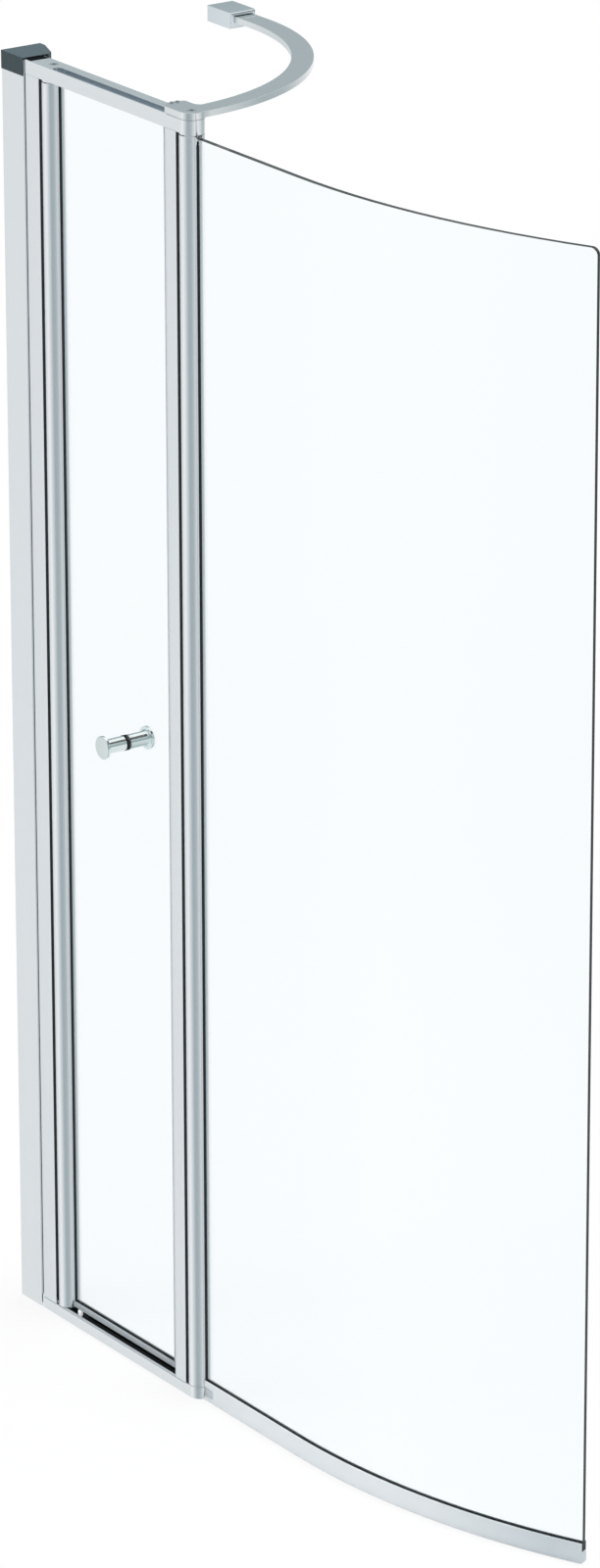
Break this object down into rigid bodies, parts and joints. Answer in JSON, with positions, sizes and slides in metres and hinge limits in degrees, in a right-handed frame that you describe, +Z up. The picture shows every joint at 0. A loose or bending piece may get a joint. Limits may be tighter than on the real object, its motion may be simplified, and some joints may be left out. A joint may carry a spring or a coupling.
{
  "type": "shower screen with door",
  "caption": "Framed bath shower screen: a narrow hinged glass door with a round knob, a curved glass panel on a pivoting post, and a curved stay to the wall.",
  "frame": {"origin": "on the wall plane, in the plane of the glass, at the underside of the frame", "axes": "+X out from the wall along the frame, +Y to the inside of the bath, +Z up"},
  "size_m": [0.8915, 0.3057, 1.4104],
  "materials": {
    "aluminium": "satin anodised",
    "chrome": "polished",
    "slate_plastic": "moulded, matt",
    "white_nylon": "moulded, satin",
    "black_rubber": "extruded, matt",
    "clear_seal": "translucent, satin",
    "steel": "machined",
    "glass": "clear, polished"
  },
  "bodies": {
    "frame": {"wall_profile": "aluminium", "profile_cover": "aluminium", "profile_cap": "slate_plastic", "adjust_screws": "steel", "left_stile": "aluminium", "right_stile": "aluminium", "top_rail": "aluminium", "bottom_rail": "aluminium", "rail_plugs": "black_rubber", "door_top_block": "aluminium", "door_bottom_block": "white_nylon", "top_end_block": "aluminium", "bottom_end_block": "aluminium", "frame_screws": "steel", "door_pivot_pins": "steel", "panel_pivot_pins": "steel", "sill_gasket": "black_rubber", "sill_stop": "white_nylon", "stay_arm": "chrome", "stay_screws": "steel", "stay_bracket": "chrome", "bracket_screw": "steel"},
    "door": {"door_post": "aluminium", "door_bushes": "white_nylon", "door_gasket": "black_rubber", "door_glass": "glass", "door_edge_seal": "clear_seal", "door_seal_liner": "black_rubber", "door_drip_seal": "clear_seal", "outer_knob": "chrome", "inner_knob": "chrome", "knob_gaskets": "black_rubber", "knob_sleeve": "white_nylon", "knob_stud": "steel"},
    "panel": {"panel_post": "aluminium", "panel_bushes": "white_nylon", "panel_gasket": "black_rubber", "panel_glass": "glass", "panel_seal_liner": "black_rubber", "panel_sweep": "clear_seal"}
  },
  "joints": [
    {"name": "door_hinge", "type": "hinge", "parent": "frame", "child": "door", "pos_m": [0.0779, 0, 0.7], "axis": [0, 0, -1], "range_deg": [0, 90]},
    {"name": "panel_hinge", "type": "hinge", "parent": "frame", "child": "panel", "pos_m": [0.3298, 0, 0.7], "axis": [0, 0, 1], "range_deg": [-90, 90]}
  ]
}
